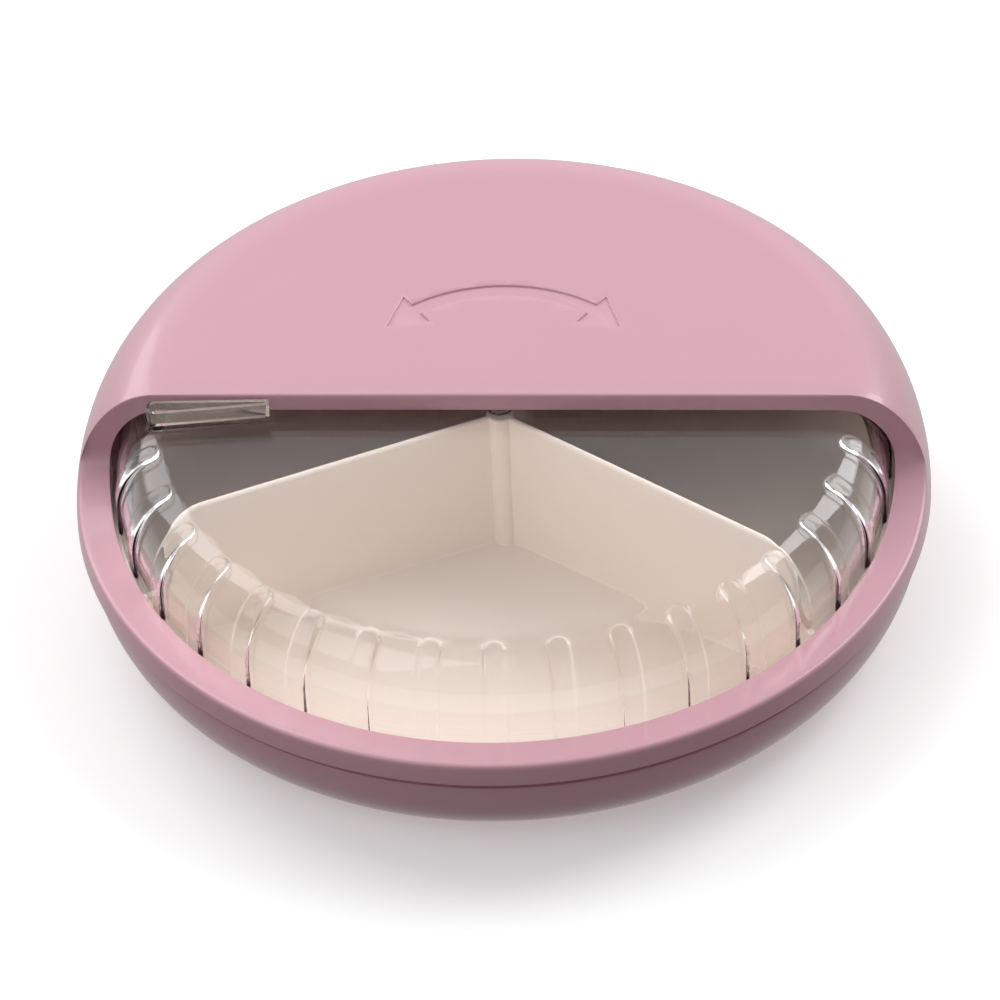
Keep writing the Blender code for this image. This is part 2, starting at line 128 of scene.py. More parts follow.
MOUTH_CORNER = 5.0 * MM
MOUTH_BEHIND_TAB = 8.0

# Hooded cover
HOOD_SHOULDER_WIDTH = 16.5 * MM
RING_TOP = 23.8 * MM
PLATE_BOTTOM = 21.8 * MM
WINDOW_RADIUS = 75.6 * MM
HOOD_FACE_Y = -2.2 * MM
HOOD_WALL = 2.0 * MM
LIP_EDGE = 40.7 * MM
SWEEP_DEPTH = 25.1 * MM
SWEEP_HEIGHT = 7.5 * MM
SKIRT_OUTER = 79.1 * MM
SKIRT_INNER = 77.8 * MM
BEAD_RADIUS = 76.4 * MM
BEAD_TOP = 19.7 * MM
BEAD_BOTTOM = 18.5 * MM
CREASE_ROUND = 1.0 * MM
WINDOW_ROUND = 0.35 * MM
FOOT_ROUND = 0.45 * MM
SKIRT_ROUND = 0.3 * MM
BAND_WIDTH = 5.4 * MM
BAND_DROP = 0.16 * MM
BAND_FADE_START = 10 * MM
BAND_FADE_LENGTH = 30 * MM
HOOD_START_ANGLE = 6.0
PIN_CLEARANCE = 0.4 * MM
ARROW_RADIUS = 29.0 * MM
ARROW_WIDTH = 3.0 * MM
ARROW_HALF_ANGLE = 36.0
ARROW_HEAD_WIDTH = 9.0 * MM
ARROW_HEAD_ANGLE = 15.0
ARROW_DEPTH = 0.4 * MM
ARROW_HEAD_GROWTH = 2.0
ARROW_TIP_GROWTH = 2.4

# Places worked out from the sizes above
OUTER_RADIUS = COVER_HIGH.x
TOTAL_HEIGHT = COVER_HIGH.z
SKIRT_BOTTOM = COVER_LOW.z
BASE_RADIUS = BASE_HIGH.x
PART_LINE = BASE_HIGH.z
RING_BOTTOM = PART_LINE + SEAM_GAP
BASE_FLOOR_TOP = FOOT_RECESS + BASE_FLOOR
BASE_CURVE_TOP = PART_LINE - RIM_BAND
INSERT_RADIUS = INSERT_HIGH.x
INSERT_BOTTOM = INSERT_LOW.z
INSERT_FLOOR_TOP = INSERT_BOTTOM + INSERT_FLOOR
DIVIDER_TOP = INSERT_HIGH.z
FLANGE_RADIUS = LID_HIGH.x
FLANGE_BOTTOM = LID_LOW.z
FLANGE_TOP = FLANGE_BOTTOM + FLANGE_THICKNESS
TAB_TOP = LID_HIGH.z
LID_FLAT_RADIUS = LID_RADIUS - LID_SHOULDER_WIDTH
LID_SHOULDER_Z = LID_TOP - LID_SHOULDER_HEIGHT
HOOD_FLAT_RADIUS = OUTER_RADIUS - HOOD_SHOULDER_WIDTH

# Fineness
TURN_STEPS = 240
CURVE_STEPS = 18
ROUND_STEPS = 5
SHORT_TURN_STEPS = 48
DIVIDER_STATIONS = 70
MERGE_DISTANCE = 0.002 * MM
DIRECTION_REACH = 0.15 * MM
END_REACH = 0.2 * MM

# Looks
COVER_PINK = (0.655, 0.362, 0.427)
COVER_PINK_DEEP = (0.640, 0.350, 0.415)
BASE_PINK = (0.645, 0.352, 0.420)
BASE_PINK_DEEP = (0.630, 0.340, 0.405)
CREAM = (0.90, 0.81, 0.725)
CREAM_DEEP = (0.89, 0.797, 0.71)
CLEAR_TINT = (0.985, 0.972, 0.978)
CLEAR_SHADOW_TINT = (0.97, 0.955, 0.95)
FLOOR_GREY = (0.93, 0.93, 0.93)
FLOOR_GLOW = 0.25
FLOOR_REACH = 4.0
WHITE = (1.0, 1.0, 1.0)
PLASTIC_IOR = 1.5
CLEAR_IOR = 1.49
COAT_ROUGHNESS = 0.07
GRAIN_DEPTH = 0.02 * MM
NOISE_LOW = 0.15
NOISE_HIGH = 0.85

# Camera, in degrees and metres
CAMERA_AZIMUTH = 4.052
CAMERA_ELEVATION = 42.484
CAMERA_DISTANCE = 1.17707
CAMERA_AIM_Z = -5.4 * MM
CAMERA_ROLL = -2.629
CAMERA_YAW = 0.0756
CAMERA_PITCH = 0.771
CAMERA_LENS = 216.0
CAMERA_SENSOR = 36.0
CAMERA_NEAR = 0.01
CAMERA_FAR = 50.0

# Lamps: name, place, width, height and power
LAMPS = (
    ("left_light", (-0.68, 0.66, 0.85), 0.8, 1.2, 6.3),
    ("right_light", (0.80, 0.60, 0.80), 0.55, 1.0, 6.8),
    ("front_light", (-0.75, -0.6, 1.05), 1.1, 1.1, 4.0),
)


def quarter(centre_r, centre_z, half_width, half_height, side=1, steps=CURVE_STEPS):
    """Return a quarter ellipse from its top to its outer side, or on to its bottom when side is -1."""
    turns = np.linspace(0.0, math.pi / 2, steps + 1)
    if side > 0:
        return [(centre_r + half_width * math.sin(t), centre_z + half_height * math.cos(t)) for t in turns]
    return [(centre_r + half_width * math.cos(t), centre_z - half_height * math.sin(t)) for t in turns]


def rounded(points, radii):
    """Return an open outline of (radius, z) points with the corners rounded by the radii given for them."""
    made = [points[0]]
    for number in range(1, len(points) - 1):
        radius = radii.get(number, 0.0)
        corner = Vector(points[number])
        before = Vector(points[number - 1]) - corner
        after = Vector(points[number + 1]) - corner
        if radius == 0.0:
            made.append(tuple(corner))
            continue
        reach = min(radius, before.length * 0.49, after.length * 0.49)
        start = corner + before.normalized() * reach
        end = corner + after.normalized() * reach
        for step in range(ROUND_STEPS + 1):
            share = step / ROUND_STEPS
            made.append(tuple(start.lerp(corner, share).lerp(corner.lerp(end, share), share)))
    made.append(points[-1])
    return made


class Profile:
    """A turned shape's outline of (radius, z) points, read by the length along it from the axis."""

    def __init__(self, points):
        self.points = np.array(points)
        steps = np.linalg.norm(np.diff(self.points, axis=0), axis=1)
        self.lengths = np.concatenate([[0.0], np.cumsum(steps)])
        self.length = self.lengths[-1]

    def at(self, along):
        """Return radius and z at a length along the outline."""
        return (np.interp(along, self.lengths, self.points[:, 0]),
                np.interp(along, self.lengths, self.points[:, 1]))

    def along(self, radius, z):
        """Return the length at a point of an outline that only runs outwards and down."""
        return np.interp(radius - z, self.points[:, 0] - self.points[:, 1], self.lengths)

    def normal(self, along, reach=DIRECTION_REACH):
        """Return the outward direction, as radius and z, at a length along the outline."""
        r0, z0 = self.at(np.asarray(along) - reach)
        r1, z1 = self.at(np.asarray(along) + reach)
        size = np.hypot(r1 - r0, z1 - z0)
        return -(z1 - z0) / size, (r1 - r0) / size


def build_mesh(name, points, faces):
    """Return an object made of the points and faces, welded, closed and facing outwards."""
    mesh = bpy.data.meshes.new(name)
    mesh.from_pydata([tuple(map(float, point)) for point in points], [], faces)
    shape = bmesh.new()
    shape.from_mesh(mesh)
    bmesh.ops.remove_doubles(shape, verts=shape.verts, dist=MERGE_DISTANCE)
    bmesh.ops.recalc_face_normals(shape, faces=shape.faces)
    shape.to_mesh(mesh)
    shape.free()
    item = bpy.data.objects.new(name, mesh)
    bpy.context.scene.collection.objects.link(item)
    return item


def row_faces(row_count, column_count, start=0, wrap_rows=False, wrap_columns=True):
    """Return the quads between neighbouring rows of points."""
    faces = []
    for row in range(row_count if wrap_rows else row_count - 1):
        this = start + row * column_count
        following = start + (row + 1) % row_count * column_count
        for column in range(column_count if wrap_columns else column_count - 1):
            beside = (column + 1) % column_count
            faces.append((this + column, this + beside, following + beside, following + column))
    return faces


def turned(name, profile, steps=TURN_STEPS):
    """Return a solid turned about +Z from a closed ring, or an outline with both ends on the axis."""
    angles = np.radians(np.arange(steps) * 360.0 / steps)
    points = [(r * math.cos(angle), r * math.sin(angle), z) for r, z in profile for angle in angles]
    closed = profile[0][0] > 0.0
    return build_mesh(name, points, row_faces(len(profile), steps, wrap_rows=closed))


def prism(name, levels):
    """Return a solid through flat outlines given as (z, points), with a flat cap at each end."""
    points = [(x, y, z) for z, outline in levels for x, y in outline]
    count = len(levels[0][1])
    faces = row_faces(len(levels), count)
    faces.append(tuple(range(count)))
    last = (len(levels) - 1) * count
    faces.append(tuple(range(last, last + count)))
    return build_mesh(name, points, faces)


def combine(item, tool, operation):
    """Join or cut an object's mesh with a tool, which is then removed."""
    boolean = item.modifiers.new(tool.name, "BOOLEAN")
    boolean.operation = operation
    boolean.solver = "EXACT"
    boolean.object = tool
    settled = bpy.context.evaluated_depsgraph_get()
    mesh = bpy.data.meshes.new_from_object(item.evaluated_get(settled))
    item.modifiers.clear()
    item.data = mesh
    bpy.data.objects.remove(tool, do_unlink=True)


def finish_piece(item, material, body, node, sharp_angle=32.0):
    """Shade a piece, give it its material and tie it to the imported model."""
    mesh = item.data
    mesh.materials.clear()
    mesh.materials.append(material)
    mesh.shade_smooth()
    mesh.set_sharp_from_angle(angle=math.radians(sharp_angle))
    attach(item, body)
    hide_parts(node)


# Materials

def new_material(name):
    """Return a material, its node tree and its Principled shader."""
    material = bpy.data.materials.new(name)
    material.use_nodes = True
    return material, material.node_tree, material.node_tree.nodes["Principled BSDF"]


def noise(tree, scale, detail):
    """Return the value of a noise texture that is fixed to the object."""
    place = tree.nodes.new("ShaderNodeTexCoord")
    texture = tree.nodes.new("ShaderNodeTexNoise")
    texture.inputs["Scale"].default_value = scale
    texture.inputs["Detail"].default_value = detail
    tree.links.new(place.outputs["Object"], texture.inputs["Vector"])
    return texture.outputs["Fac"]


def vary(tree, value, low, high):
    """Return a value spread between low and high."""
    spread = tree.nodes.new("ShaderNodeMapRange")
    spread.inputs["From Min"].default_value = NOISE_LOW
    spread.inputs["From Max"].default_value = NOISE_HIGH
    spread.inputs["To Min"].default_value = low
    spread.inputs["To Max"].default_value = high
    tree.links.new(value, spread.inputs["Value"])
    return spread.outputs["Result"]


def grain(tree, shader, coarse, fine, strength):
    """Give a shader the faint waviness and the fine grain of a moulded surface."""
    total = tree.nodes.new("ShaderNodeMath")
    total.operation = "ADD"
    tree.links.new(coarse, total.inputs[0])
    tree.links.new(fine, total.inputs[1])
    bump = tree.nodes.new("ShaderNodeBump")
    bump.inputs["Strength"].default_value = strength
    bump.inputs["Distance"].default_value = GRAIN_DEPTH
    tree.links.new(total.outputs["Value"], bump.inputs["Height"])
    tree.links.new(bump.outputs["Normal"], shader.inputs["Normal"])


def moulded_plastic(name, colour, deeper, roughness, strength, coat=0.0):
    """Return an opaque moulded plastic with slight colour drift, uneven gloss and a fine grain."""
    material, tree, shader = new_material(name)
    drift = tree.nodes.new("ShaderNodeMix")
    drift.data_type = "RGBA"
    drift.inputs["A"].default_value = (*colour, 1.0)
    drift.inputs["B"].default_value = (*deeper, 1.0)
    tree.links.new(vary(tree, noise(tree, 22.0, 3.0), 0.0, 1.0), drift.inputs["Factor"])
    tree.links.new(drift.outputs["Result"], shader.inputs["Base Color"])
    tree.links.new(vary(tree, noise(tree, 90.0, 2.0), roughness * 0.93, roughness * 1.12),
                   shader.inputs["Roughness"])
    shader.inputs["IOR"].default_value = PLASTIC_IOR
    shader.inputs["Coat Weight"].default_value = coat
    shader.inputs["Coat Roughness"].default_value = COAT_ROUGHNESS
    grain(tree, shader, noise(tree, 60.0, 2.0), noise(tree, 420.0, 1.0), strength)
    return material


def clear_plastic(name):
    """Return polished clear plastic that lets the lamps' light through to what is under it."""
    material, tree, shader = new_material(name)
    shader.inputs["Base Color"].default_value = (*CLEAR_TINT, 1.0)
    shader.inputs["Transmission Weight"].default_value = 1.0
    shader.inputs["IOR"].default_value = CLEAR_IOR
    tree.links.new(vary(tree, noise(tree, 240.0, 4.0), 0.0, 0.035), shader.inputs["Roughness"])
    grain(tree, shader, noise(tree, 70.0, 2.0), noise(tree, 500.0, 1.0), 0.12)
    path = tree.nodes.new("ShaderNodeLightPath")
    through = tree.nodes.new("ShaderNodeBsdfTransparent")
    through.inputs["Color"].default_value = (*CLEAR_SHADOW_TINT, 1.0)
    choice = tree.nodes.new("ShaderNodeMixShader")
    tree.links.new(path.outputs["Is Shadow Ray"], choice.inputs["Fac"])
    tree.links.new(shader.outputs["BSDF"], choice.inputs[1])
    tree.links.new(through.outputs["BSDF"], choice.inputs[2])
    tree.links.new(choice.outputs["Shader"], tree.nodes["Material Output"].inputs["Surface"])
    return material


# Base bowl

def base_profile():
    """Return the bowl's outline, from the middle of its floor inside round to the middle underneath."""
    centre_r = BASE_RADIUS - BASE_CURVE_WIDTH
    bore = BASE_RADIUS - BASE_WALL
    inside = quarter(centre_r, BASE_CURVE_TOP, BASE_CURVE_WIDTH - BASE_WALL,
                     BASE_CURVE_TOP - BASE_FLOOR_TOP, side=-1)
    outside = quarter(centre_r, BASE_CURVE_TOP, BASE_CURVE_WIDTH, BASE_CURVE_TOP, side=-1)
    foot_inner = centre_r - FOOT_WIDTH
    neck = BASE_RADIUS - RIM_RECESS
    rim = rounded([inside[0], (bore, PART_LINE), (neck, PART_LINE), (neck, BASE_CURVE_TOP), outside[0],
                   outside[1]], {1: BASE_RIM_ROUND, 2: BASE_RIM_ROUND, 3: BAND_TOP_ROUND, 4: BAND_FOOT_ROUND})
    foot = rounded([outside[-1], (foot_inner, 0.0), (foot_inner - FOOT_RECESS, FOOT_RECESS),
                    (0.0, FOOT_RECESS)], {1: FOOT_RING_ROUND, 2: FOOT_RING_ROUND})
    return [(0.0, BASE_FLOOR_TOP)] + inside[::-1] + rim[1:-1] + outside[1:] + foot[1:]


def build_base(material):
    """Make the pink bowl that everything stands in."""
    item = turned("base_bowl_moulding", base_profile())
    finish_piece(item, material, "base", "base_bowl")


# Insert

def insert_inner_profile():
    """Return the outline of the insert's inside, from the axis out and up to its rim."""
    centre_r = INSERT_RADIUS - INSERT_CURVE_WIDTH
    curve = quarter(centre_r, BASE_CURVE_TOP, INSERT_CURVE_WIDTH - INSERT_WALL,
                    BASE_CURVE_TOP - INSERT_FLOOR_TOP, side=-1)
    return [(0.0, INSERT_FLOOR_TOP)] + curve[::-1] + [(INSERT_RADIUS - INSERT_WALL, INSERT_RIM)]


def insert_shell():
    """Return the insert's tray without its dividers."""
    centre_r = INSERT_RADIUS - INSERT_CURVE_WIDTH
    inside = insert_inner_profile()
    outside = quarter(centre_r, BASE_CURVE_TOP, INSERT_CURVE_WIDTH, BASE_CURVE_TOP - INSERT_BOTTOM, side=-1)
    rim = rounded([inside[-2], inside[-1], (INSERT_RADIUS, INSERT_RIM), outside[0]],
                  {1: INSERT_RIM_INNER_ROUND, 2: INSERT_RIM_OUTER_ROUND})
    return turned("insert_shell", inside[:-1] + rim[1:-1] + outside + [(0.0, INSERT_BOTTOM)])


def flare(distance, radius):
    """Return how far a fillet of that radius stands out at a distance from the surface it runs into."""
    near = np.clip(radius - np.maximum(distance, 0.0), 0.0, radius)
    return radius - np.sqrt(radius**2 - near**2)


def divider(number):
    """Return one divider, rounded along its top and filleted into the floor, the wall and the hub."""
    floor = Profile(insert_inner_profile())
    stations = np.linspace(0.0, floor.length - DIVIDER_END_STEP, DIVIDER_STATIONS)
    floor_r, floor_z = floor.at(stations)
    in_r, in_z = floor.normal(stations)
    shoulder = quarter(DIVIDER_FLAT_RADIUS, LID_SHOULDER_Z, DIVIDER_RADIUS - DIVIDER_FLAT_RADIUS,
                       DIVIDER_TOP - LID_SHOULDER_Z)
    top = Profile([(0.0, DIVIDER_TOP)] + shoulder + [(DIVIDER_RADIUS, floor_z[-1] + DIVIDER_HEEL)])
    top_stations = top.length * (stations / stations[-1])
    top_r, top_z = top.at(top_stations)
    out_r, out_z = top.normal(np.clip(top_stations, END_REACH, top.length - END_REACH))
    half = DIVIDER_THICKNESS / 2
    sides = []
    for depth in np.linspace(-DIVIDER_ROOT, DIVIDER_FILLET, 9):
        sides.append((floor_r + in_r * depth, floor_z + in_z * depth, half + flare(depth, DIVIDER_FILLET)))
    last_r, last_z, _ = sides[-1]
    inset_r = top_r - out_r * half
    inset_z = top_z - out_z * half
    for share in np.linspace(0.0, 1.0, 13)[1:]:
        sides.append((last_r + (inset_r - last_r) * share, last_z + (inset_z - last_z) * share,
                      np.full(DIVIDER_STATIONS, half)))
    for turn in np.radians([18.0, 36.0, 54.0, 72.0]):
        sides.append((inset_r + out_r * half * math.sin(turn), inset_z + out_z * half * math.sin(turn),
                      np.full(DIVIDER_STATIONS, half * math.cos(turn))))
    rows = []
    for r, z, width in sides:
        rows.append((r, z, width + flare(r - HUB_RADIUS, HUB_FILLET) * (width > half * 0.99)))
    rows.append((top_r, top_z, np.zeros(DIVIDER_STATIONS)))
    both = rows + [(r, z, -width) for r, z, width in rows[-2::-1]]
    points = np.array([(r[i], width[i], z[i]) for r, z, width in both for i in range(DIVIDER_STATIONS)])
    count = len(both)
    faces = row_faces(count, DIVIDER_STATIONS, wrap_rows=True, wrap_columns=False)
    faces.append(tuple(row * DIVIDER_STATIONS for row in range(count)))
    faces.append(tuple(row * DIVIDER_STATIONS + DIVIDER_STATIONS - 1 for row in range(count)))
    item = build_mesh(f"divider_{number}", points, faces)
    angle = FIRST_DIVIDER_ANGLE + number * 360.0 / COMPARTMENTS
    item.data.transform(Matrix.Rotation(math.radians(angle), 4, "Z"))
    return item


def build_insert(material):
    """Make the cream tray with its three dividers and their hub."""
    item = insert_shell()
    root = INSERT_FLOOR_TOP - INSERT_FLOOR / 2
    for number in range(COMPARTMENTS):
        combine(item, divider(number), "UNION")
    hub = rounded([(0.0, DIVIDER_TOP), (HUB_RADIUS, DIVIDER_TOP), (HUB_RADIUS, INSERT_FLOOR_TOP),
                   (HUB_RADIUS + DIVIDER_FILLET, INSERT_FLOOR_TOP), (HUB_RADIUS + DIVIDER_FILLET, root),
                   (0.0, root)], {1: HUB_TOP_ROUND, 2: DIVIDER_FILLET})
    combine(item, turned("divider_hub", hub, steps=SHORT_TURN_STEPS), "UNION")
    finish_piece(item, material, "insert", "compartment_insert")


# Clear lid

def lid_outer_profile():
    """Return the outline of the lid's upper surface, from the axis to the foot of its shoulder."""
    shoulder = quarter(LID_FLAT_RADIUS, LID_SHOULDER_Z, LID_SHOULDER_WIDTH, LID_SHOULDER_HEIGHT, steps=60)
    return Profile([(0.0, LID_TOP)] + shoulder + [(LID_RADIUS, FLANGE_TOP)])


def rib_levels():
    """Return the distances from a rib's middle line at which its contour lines run, with their heights."""
    half = RIB_WIDTH / 2
    turns = np.radians([0.0, 16.0, 32.0, 48.0, 62.0, 74.0])
    distances = [0.0, (half - RIB_ROUND) * 0.6]
    heights = [RIB_HEIGHT, RIB_HEIGHT]
    for turn in turns:
        distances.append(half - RIB_ROUND * (1.0 - math.sin(turn)))
        heights.append(RIB_HEIGHT * math.cos(turn))
    distances += [half + RIB_FOOT_ROUND * 0.3, half + RIB_FOOT_ROUND, half + RIB_ROUND]
    heights += [RIB_FOOT_ROUND * 0.3, 0.0, 0.0]
    return np.array(distances), np.array(heights)


def cell_lines(profile, half_pitch):
    """Return the lines that run out from a rib's middle line to the border of its cell.

    Each is (start, direction, end) in lengths along the lid's outline and across the rib.
    """
    tip = profile.along(RIB_TIP_RADIUS, profile.at(RIB_TIP_RADIUS)[1])
    centre = tip + RIB_WIDTH / 2
    foot = profile.length

    def border(along):
        return half_pitch * profile.at(along)[0]

    rows = np.concatenate([np.linspace(centre, foot - CELL_FOOT_STEP, 21), [foot]])
    straight = [((along, 0.0), (0.0, 1.0), (along, border(along))) for along in rows[::-1]]
    fan = []
    for step in range(1, 16):
        turn = math.radians(90.0 + 180.0 * step / 16)
        if step <= 4:
            along = centre + (CELL_START - centre) * step / 4
            end = (along, border(along))
        elif step <= 12:
            end = (CELL_START, border(CELL_START) * (8 - step) / 4)
        else:
            along = CELL_START + (centre - CELL_START) * (step - 12) / 4
            end = (along, -border(along))
        fan.append(((centre, 0.0), (math.cos(turn), math.sin(turn)), end))
    mirrored = [(start, (0.0, -1.0), (end[0], -end[1])) for start, _, end in straight[::-1]]
    return straight + fan + mirrored


def lid_cell(profile, lines, angle, ribbed):
    """Return the points of one rib's cell, line by line from its middle outwards."""
    distances, heights = rib_levels()
    foot = profile.length
    points = []
    for start, direction, end in lines:
        start = np.array(start)
        direction = np.array(direction)
        places = [start + direction * distance for distance in distances]
        places.append(places[-1] + (np.array(end) - places[-1]) * 0.45)
        places.append(np.array(end))
        rises = list(heights) + [0.0, 0.0]
        for (along, across), rise in zip(places, rises):
            r, z = profile.at(along)
            n_r, n_z = profile.normal(min(along, foot - END_REACH))
            lift = rise if ribbed and along < foot - END_REACH else 0.0
            turn = math.radians(angle) + across / r
            points.append(((r + n_r * lift) * math.cos(turn), (r + n_r * lift) * math.sin(turn),
                           z + n_z * lift))
    return points, len(distances) + 2


def lid_shell():
    """Return the lid's shell with its ribs, without its mouth, tab and pin."""
    profile = lid_outer_profile()
    pitch = 360.0 / RIB_COUNT
    lines = cell_lines(profile, math.radians(pitch) / 2)
    points = []
    faces = []
    foot_angles = []
    disc_angles = []
    for number in range(RIB_COUNT):
        angle = FIRST_RIB_ANGLE + number * pitch
        from_tab = abs((angle - TAB_ANGLE + 180.0) % 360.0 - 180.0)
        cell, level_count = lid_cell(profile, lines, angle, ribbed=from_tab > pitch / 2)
        faces += row_faces(len(lines), level_count, start=len(points), wrap_columns=False)
        points += cell
        foot = [math.atan2(y, x) for x, y, _ in cell[-level_count:]]
        foot_back = [math.atan2(y, x) for x, y, _ in cell[:level_count]]
        foot_angles += foot[::-1] + foot_back[1:-1]
        disc = [end for _, _, end in lines if end[0] == CELL_START]
        disc_angles += [math.radians(angle) + across / CELL_START for _, across in disc[::-1][:-1]]
    inner = quarter(LID_FLAT_RADIUS, LID_SHOULDER_Z, LID_SHOULDER_WIDTH - LID_WALL,
                    LID_SHOULDER_HEIGHT - LID_WALL, steps=14)
    lower = rounded([(LID_RADIUS, FLANGE_TOP), (FLANGE_RADIUS, FLANGE_TOP), (FLANGE_RADIUS, FLANGE_BOTTOM),
                     (LID_RADIUS - LID_WALL, FLANGE_BOTTOM), inner[-1]], {1: FLANGE_ROUND, 2: FLANGE_ROUND})
    lower = lower[:-1] + inner[::-1] + [(LID_FLAT_RADIUS * share, LID_TOP - LID_WALL) for share in (0.5, 0.0)]
    start = len(points)
    points += [(r * math.cos(a), r * math.sin(a), z) for r, z in lower for a in foot_angles]
    faces += row_faces(len(lower), len(foot_angles), start=start)
    start = len(points)
    radii = [CELL_START * share for share in (1.0, 0.66, 0.33, 0.0)]
    points += [(r * math.cos(a), r * math.sin(a), LID_TOP) for r in radii for a in disc_angles]
    faces += row_faces(len(radii), len(disc_angles), start=start)
    return build_mesh("spin_lid_moulding", points, faces)


def teardrop(inset):
    """Return the tab's plan outline: a round outer end with straight sides to a narrow, open end."""
    big = TAB_WIDTH / 2 - inset
    small = max(TAB_NECK / 2 - inset, TAB_LEAST_NECK)
    centre = TAB_OUTER_RADIUS - TAB_WIDTH / 2
    neck = TAB_INNER_RADIUS + inset
    lean = math.asin((big - small) / (centre - neck))
    turns = np.linspace(-math.pi / 2 - lean, math.pi / 2 + lean, 33)
    outline = [(neck, -small)]
    outline += [(centre + big * math.cos(turn), big * math.sin(turn)) for turn in turns]
    outline.append((neck, small))
    across = Matrix.Rotation(math.radians(TAB_ANGLE), 2)
    return [tuple(across @ Vector(point)) for point in outline]


def finger_tab():
    """Return the hollow finger tab with a rounded rim."""
    floor = LID_TOP + RIB_HEIGHT
    bend = TAB_ROUND
    levels = [(LID_TOP - LID_WALL / 2, -bend), (LID_TOP, -bend), (LID_TOP + bend * 0.4, -bend * 0.3),
              (LID_TOP + bend, 0.0), (TAB_TOP - bend, 0.0), (TAB_TOP - bend * 0.3, bend * 0.3),
              (TAB_TOP, bend), (TAB_TOP, TAB_WALL - bend), (TAB_TOP - bend * 0.3, TAB_WALL - bend * 0.3),
              (TAB_TOP - bend, TAB_WALL), (floor + bend, TAB_WALL),
              (floor + bend * 0.3, TAB_WALL + bend * 0.3), (floor, TAB_WALL + bend)]
    return prism("finger_tab", [(z, teardrop(inset)) for z, inset in levels])


def centre_pin():
    """Return the lid's centre boss and pin."""
    root = LID_TOP - LID_WALL / 2
    shoulder_z = LID_TOP + PIN_SHOULDER_HEIGHT
    profile = [(0.0, LID_TOP + PIN_HEIGHT), (PIN_RADIUS, LID_TOP + PIN_HEIGHT), (PIN_RADIUS, shoulder_z),
               (PIN_SHOULDER_RADIUS, shoulder_z), (PIN_SHOULDER_RADIUS, root), (0.0, root)]
    corners = {1: PIN_TIP_ROUND, 2: PIN_FOOT_ROUND, 3: PIN_SHOULDER_ROUND}
    return turned("centre_pin", rounded(profile, corners), steps=SHORT_TURN_STEPS)


def arc(radius, start, sweep, centre=(0.0, 0.0), steps=10):
    """Return the points of an arc, both ends included."""
    turns = np.radians(start + sweep * np.arange(steps + 1) / steps)
    return [(centre[0] + radius * math.cos(turn), centre[1] + radius * math.sin(turn)) for turn in turns]


def mouth_outline():
    """Return the mouth's plan outline, a ring sector with rounded corners."""
    last = TAB_ANGLE - MOUTH_BEHIND_TAB
    first = last - MOUTH_ANGLE
    corner = MOUTH_CORNER
    outer_r = MOUTH_OUTER_RADIUS - corner
    inner_r = MOUTH_INNER_RADIUS + corner
    outer_turn = math.degrees(math.asin(corner / outer_r))
    inner_turn = math.degrees(math.asin(corner / inner_r))

    def centre(radius, angle):
        return arc(radius, angle, 0.0, steps=1)[0]

    outline = arc(corner, first - 90.0, 90.0 + outer_turn, centre(outer_r, first + outer_turn))
    outline += arc(MOUTH_OUTER_RADIUS, first + outer_turn, MOUTH_ANGLE - 2 * outer_turn, steps=60)[1:-1]
    outline += arc(corner, last - outer_turn, 90.0 + outer_turn, centre(outer_r, last - outer_turn))
    outline += arc(corner, last + 90.0, 90.0 - inner_turn, centre(inner_r, last - inner_turn))
    outline += arc(MOUTH_INNER_RADIUS, last - inner_turn, 2 * inner_turn - MOUTH_ANGLE, steps=20)[1:-1]
    outline += arc(corner, first + 180.0 + inner_turn, 90.0 - inner_turn,
                   centre(inner_r, first + inner_turn))
    return outline


def build_lid(material):
    """Make the clear ribbed lid with its tab, pin and mouth."""
    item = lid_shell()
    combine(item, finger_tab(), "UNION")
    combine(item, centre_pin(), "UNION")
    mouth = prism("mouth", [(LID_SHOULDER_Z, mouth_outline()), (TAB_TOP, mouth_outline())])
    combine(item, mouth, "DIFFERENCE")
    finish_piece(item, material, "lid", "spin_lid")


# Hooded cover

def cut_profile():
    """Return the side outline, as (y, z), of the surface that the cover's ring and hood face lie on."""
    start = HOOD_FACE_Y - SWEEP_DEPTH
    turns = np.linspace(0.0, math.pi / 2, 61)
    sweep = [(start + SWEEP_DEPTH * math.sin(turn), RING_TOP + SWEEP_HEIGHT * (1.0 - math.cos(turn)))
             for turn in turns]
    return Profile([(-2 * OUTER_RADIUS, RING_TOP)] + sweep + [(HOOD_FACE_Y, 2 * TOTAL_HEIGHT)])


def radius_at(profile, z):
    """Return a dome outline's radius at a height."""
    return np.interp(-z, -profile.points[1:, 1], profile.points[1:, 0])


def resample(line, count):
    """Return count + 1 evenly spaced points, as (x, along the cut), of a fine line of (x, y, z, along)."""
    steps = np.linalg.norm(np.diff(line[:, :3], axis=0), axis=1)
    lengths = np.concatenate([[0.0], np.cumsum(steps)])
    wanted = np.linspace(0.0, lengths[-1], count + 1)
    return np.column_stack([np.interp(wanted, lengths, line[:, 0]), np.interp(wanted, lengths, line[:, 3])])


